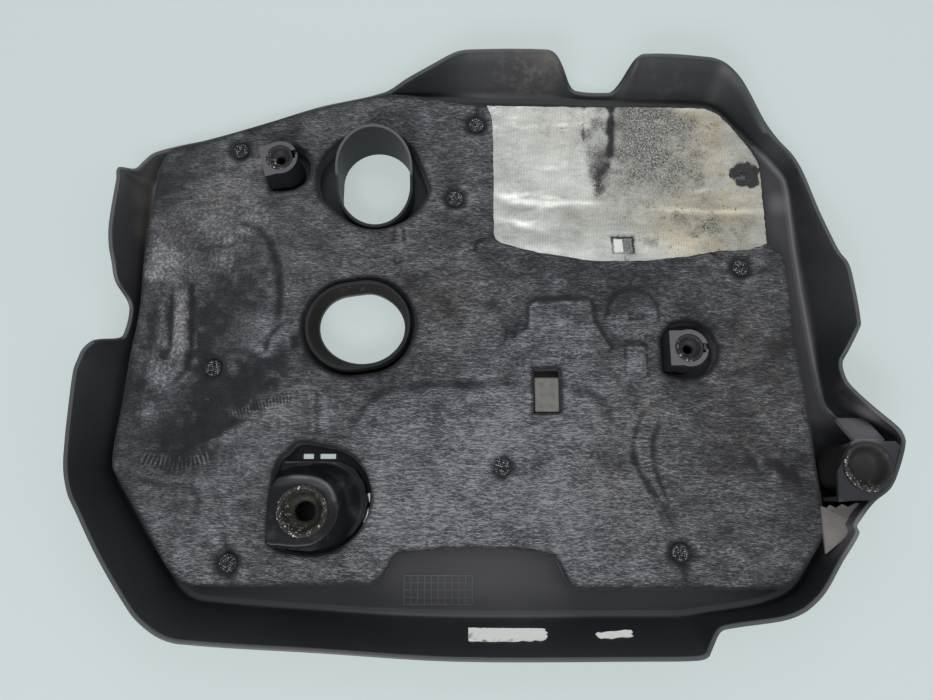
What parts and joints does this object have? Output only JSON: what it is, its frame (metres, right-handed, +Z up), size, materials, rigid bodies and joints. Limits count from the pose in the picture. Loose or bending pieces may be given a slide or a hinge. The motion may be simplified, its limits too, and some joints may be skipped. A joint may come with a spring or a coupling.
{
  "type": "engine cover",
  "caption": "Moulded engine cover, underside up: skirted tray with a felt sound pad, a foil heat shield, rubber stud sockets, a filler opening and an oblique duct.",
  "frame": {"origin": "centre of the bounding box at the level of the flat show face, which lies on the table", "axes": "+Z up out of the open underside, +X to the right and +Y away from the viewer as in the picture. On the engine the cover is turned over, with +Z pointing down"},
  "size_m": [0.582, 0.457, 0.0446],
  "materials": {
    "shell_plastic": "fine moulded grain, scuffed and dusty",
    "pad_felt": "pressed felt with light streaks",
    "shield_foil": "embossed foil, sooty and stained",
    "block_felt": "beige felt",
    "grommet_rubber": "worn rubber with a polished lip",
    "label_paper": "torn paper with glue marks"
  },
  "bodies": {
    "root": {"cover_shell": "shell_plastic", "cover_skirt": "shell_plastic", "acoustic_pad": "pad_felt", "heat_shield_foil": "shield_foil", "window_block": "block_felt", "grommet_small_left": "grommet_rubber", "grommet_small_right": "grommet_rubber", "grommet_large_left": "grommet_rubber", "grommet_large_right": "grommet_rubber", "label_remnant_1": "label_paper", "label_remnant_2": "label_paper"}
  },
  "joints": []
}
